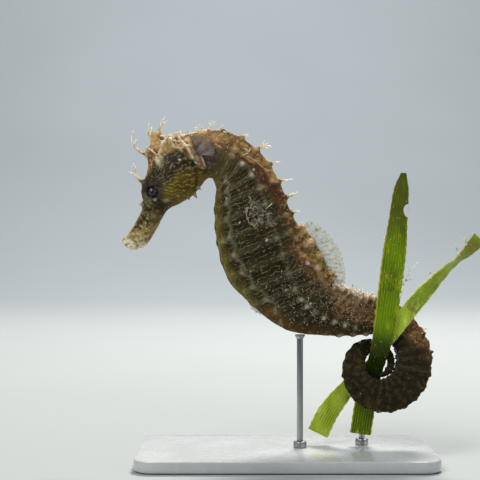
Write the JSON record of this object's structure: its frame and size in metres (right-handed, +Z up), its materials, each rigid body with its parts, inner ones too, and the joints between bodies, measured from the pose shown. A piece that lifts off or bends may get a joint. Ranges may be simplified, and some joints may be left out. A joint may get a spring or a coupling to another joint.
{
  "type": "long-snouted seahorse model",
  "caption": "Life-size seahorse with its tail rolled round cut seagrass blades, feelers, fan fins and brood pouch, on a flat display stand.",
  "frame": {"origin": "middle of the underside of the stand's base", "axes": "+Z up, -X the way the animal faces, -Y its left side"},
  "size_m": [0.0936, 0.04, 0.0888],
  "materials": {
    "skin": "thin skin over bony rings, olive-brown with fine pale lines and white dots, satin",
    "eye": "wet gloss, dark iris with pale streaks round a black pupil",
    "fin": "thin clear membrane between pale fin rays",
    "seagrass": "satin leaf with fine long veins, browned at the tip",
    "stand_base": "polished pale acrylic plate",
    "stand_rod": "fine drawn steel rod"
  },
  "bodies": {
    "root": {"upper_jaw": "skin", "lower_jaw": "skin", "snout": "skin", "head": "skin", "gill_cover_left": "skin", "gill_cover_right": "skin", "coronet": "skin", "neck": "skin", "trunk_upper": "skin", "trunk_middle": "skin", "trunk_lower": "skin", "tail_base": "skin", "brood_pouch": "skin", "tail_upper": "skin", "tail_roll_1": "skin", "tail_roll_2": "skin", "tail_roll_3": "skin", "tail_roll_4": "skin", "tail_roll_5": "skin", "tail_roll_6": "skin", "tail_roll_7": "skin", "tail_tip": "skin", "eye_left": "eye", "eye_right": "eye", "dorsal_fin": "fin", "pectoral_fin_left": "fin", "pectoral_fin_right": "fin", "anal_fin": "fin", "perch_blade_upright": "seagrass", "perch_blade_slanting": "seagrass", "stand_base": "stand_base", "stand_rod_body": "stand_rod", "stand_rod_perch": "stand_rod"}
  },
  "joints": []
}
